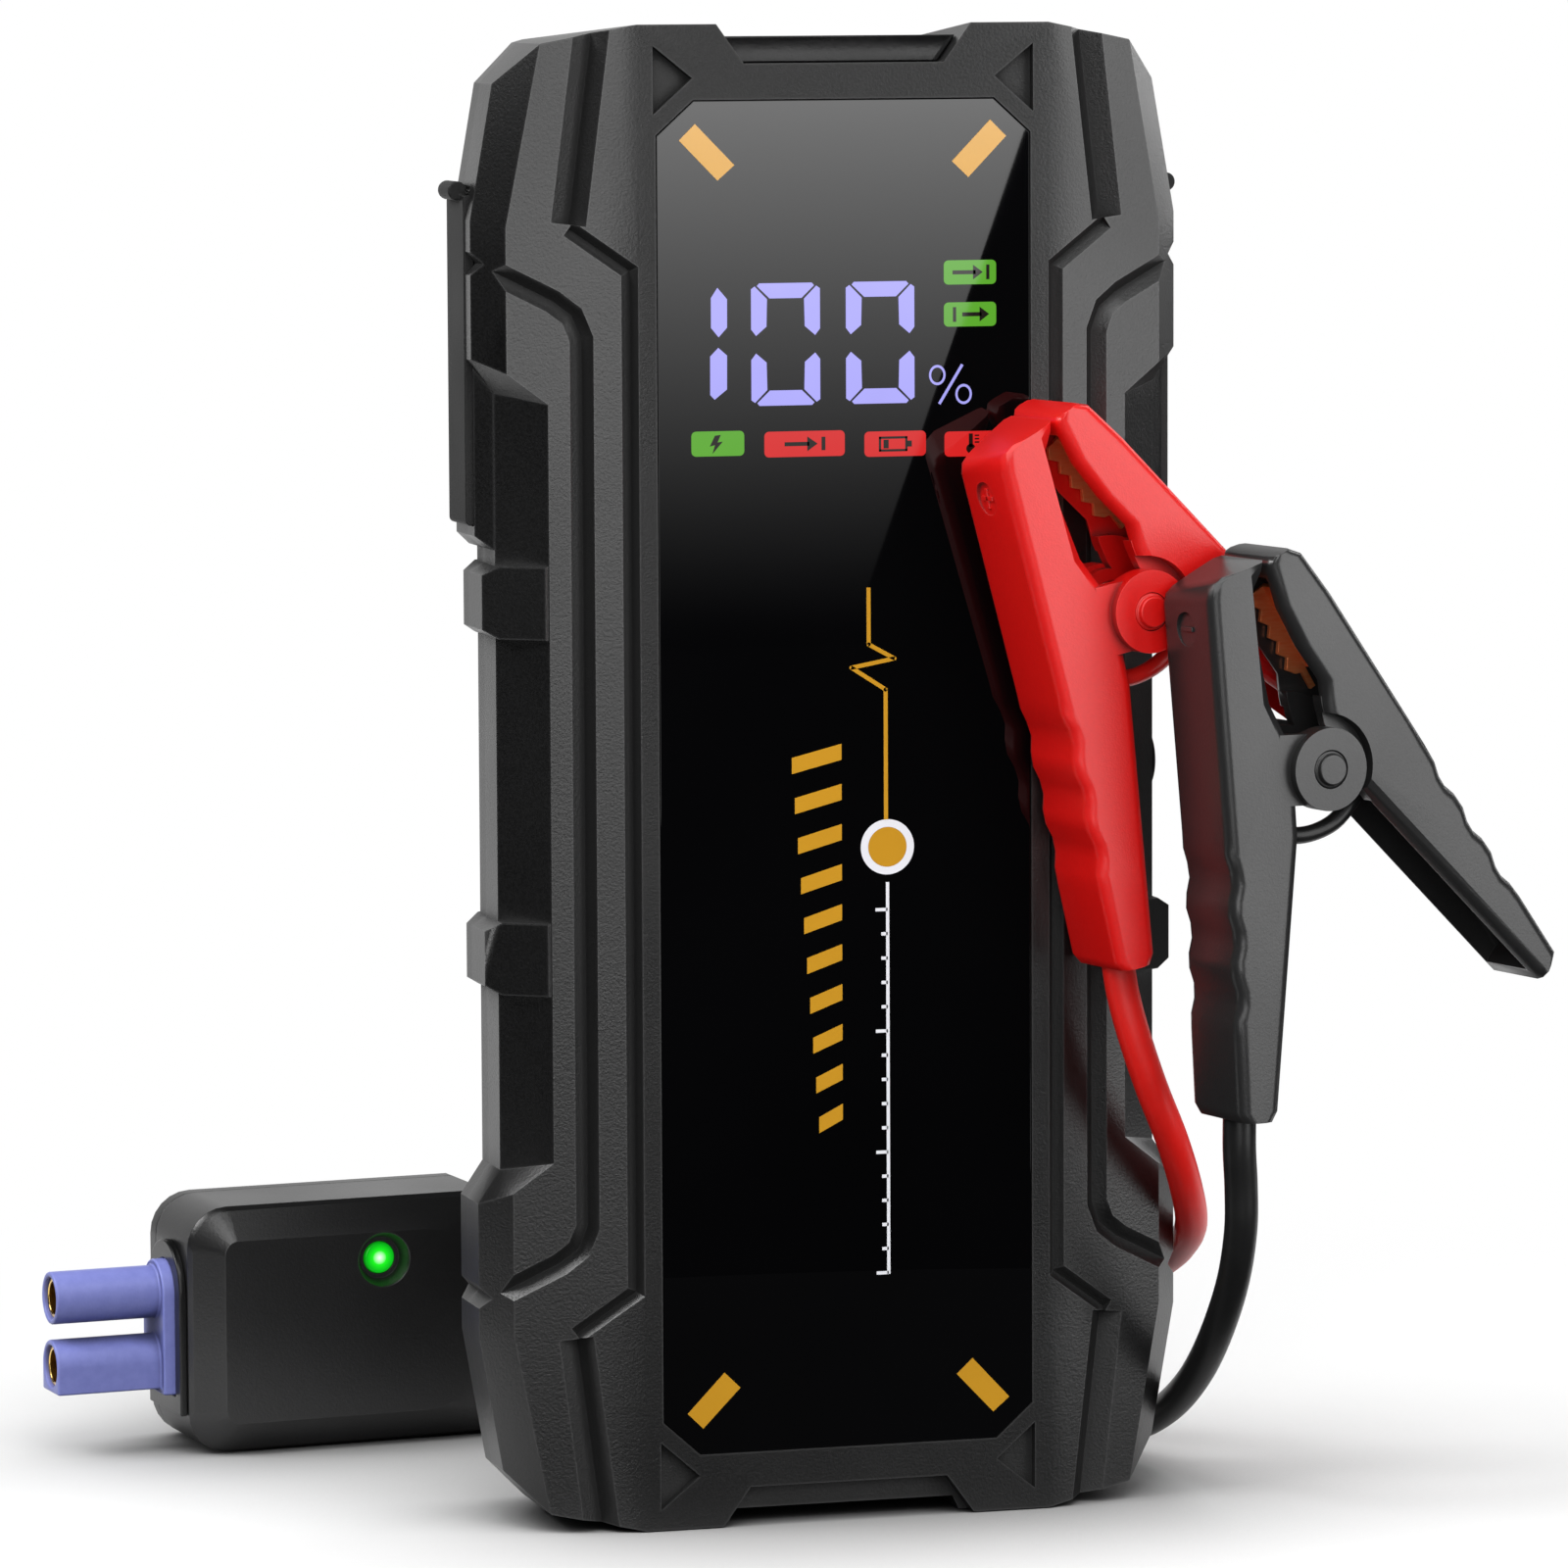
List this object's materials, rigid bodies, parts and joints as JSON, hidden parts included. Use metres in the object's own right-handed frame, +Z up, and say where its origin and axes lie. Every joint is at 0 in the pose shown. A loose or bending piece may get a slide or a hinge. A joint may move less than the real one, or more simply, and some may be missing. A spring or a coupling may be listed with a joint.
{
  "type": "jump starter pack",
  "caption": "Upright rugged battery pack with an armoured case, screen and flap-covered ports, and a lead set with a two-barrel plug, red and black leads and spring clamps.",
  "frame": {"origin": "centre of the pack's flat bottom, midway through its thickness", "axes": "+Z up the standing pack, -Y out of its screen, +X to its jump socket side"},
  "size_m": [0.2107, 0.1398, 0.224],
  "materials": {
    "armour_plastic": "fine satin texture",
    "back_plastic": "fine satin texture",
    "display_glass": "polished black",
    "circuit_board": "solder resist",
    "cell_foil": "pouch foil",
    "foam": "foam",
    "nickel": "nickel plate",
    "gloss_black": "polished",
    "clear_lens": "clear",
    "led_resin": "resin",
    "socket_blue": "moulded",
    "gold": "gold plate",
    "button_plastic": "satin",
    "flap_rubber": "soft matt",
    "screw_steel": "black zinc",
    "module_plastic": "fine satin texture",
    "lamp_green": "lit",
    "gland_rubber": "matt",
    "red_lead_rubber": "satin",
    "black_lead_rubber": "satin",
    "red_plastic": "semi gloss",
    "black_plastic": "semi gloss",
    "pin_steel": "painted",
    "spring_steel": "bright",
    "copper": "copper plate"
  },
  "bodies": {
    "pack": {"front_cover": "armour_plastic", "back_cover": "back_plastic", "display_glass": "display_glass", "display_board": "circuit_board", "main_board": "circuit_board", "port_board": "circuit_board", "button_board": "circuit_board", "battery_cells": "cell_foil", "battery_pads": "foam", "cell_tabs": "nickel", "top_end_piece": "gloss_black", "torch_lens": "clear_lens", "torch_led": "led_resin", "usb_a_ports": "nickel", "usb_c_port": "nickel", "jump_socket": "socket_blue", "jump_socket_pins": "gold", "cover_screws": "screw_steel"},
    "power_button": {"power_button": "button_plastic"},
    "port_flap": {"port_flap": "flap_rubber"},
    "jump_flap": {"jump_flap": "flap_rubber"},
    "lead_set": {"module_front_shell": "module_plastic", "module_back_shell": "module_plastic", "module_board": "circuit_board", "module_lamp": "lamp_green", "plug_seat": "gloss_black", "plug_housing": "socket_blue", "plug_contacts": "gold", "module_screws": "screw_steel", "lead_gland": "gland_rubber", "red_lead": "red_lead_rubber", "black_lead": "black_lead_rubber", "red_fixed_arm": "red_plastic", "red_pivot_pin": "pin_steel", "red_spring": "spring_steel", "red_fixed_jaw": "copper", "red_bridge_wire": "red_lead_rubber", "black_fixed_arm": "black_plastic", "black_pivot_pin": "pin_steel", "black_spring": "spring_steel", "black_fixed_jaw": "copper", "black_bridge_wire": "black_lead_rubber"},
    "red_jaw": {"red_moving_arm": "red_plastic", "red_moving_jaw": "copper"},
    "black_jaw": {"black_moving_arm": "black_plastic", "black_moving_jaw": "copper"}
  },
  "joints": [
    {"name": "button_press", "type": "slide", "parent": "pack", "child": "power_button", "axis": [-1, 0, 0], "range_m": [0, 0.0008], "stiffness_N_per_m": 1500, "springref_m": -0.0005},
    {"name": "port_flap_hinge", "type": "hinge", "parent": "pack", "child": "port_flap", "pos_m": [-0.0541, 0.001, 0.1509], "axis": [0, -1, 0], "range_deg": [0, 120]},
    {"name": "jump_flap_hinge", "type": "hinge", "parent": "pack", "child": "jump_flap", "pos_m": [0.0541, 0.001, 0.1509], "axis": [0, 1, 0], "range_deg": [0, 120]},
    {"name": "lead_set_clear", "type": "slide", "parent": "pack", "child": "lead_set", "axis": [1, 0, 0], "range_m": [0, 0.2]},
    {"name": "red_jaw_open", "type": "hinge", "parent": "lead_set", "child": "red_jaw", "pos_m": [0.0405, -0.0247, 0.137], "axis": [-0.2079, 0.9781, 0], "range_deg": [0, 34], "stiffness_Nm_per_rad": 0.3, "springref_deg": -57.3, "deforming": ["red_spring", "red_bridge_wire"]},
    {"name": "black_jaw_open", "type": "hinge", "parent": "lead_set", "child": "black_jaw", "pos_m": [0.064, -0.03769, 0.114], "axis": [-0.2079, 0.9781, 0], "range_deg": [0, 34], "stiffness_Nm_per_rad": 0.3, "springref_deg": -57.3, "deforming": ["black_spring", "black_bridge_wire"]}
  ]
}
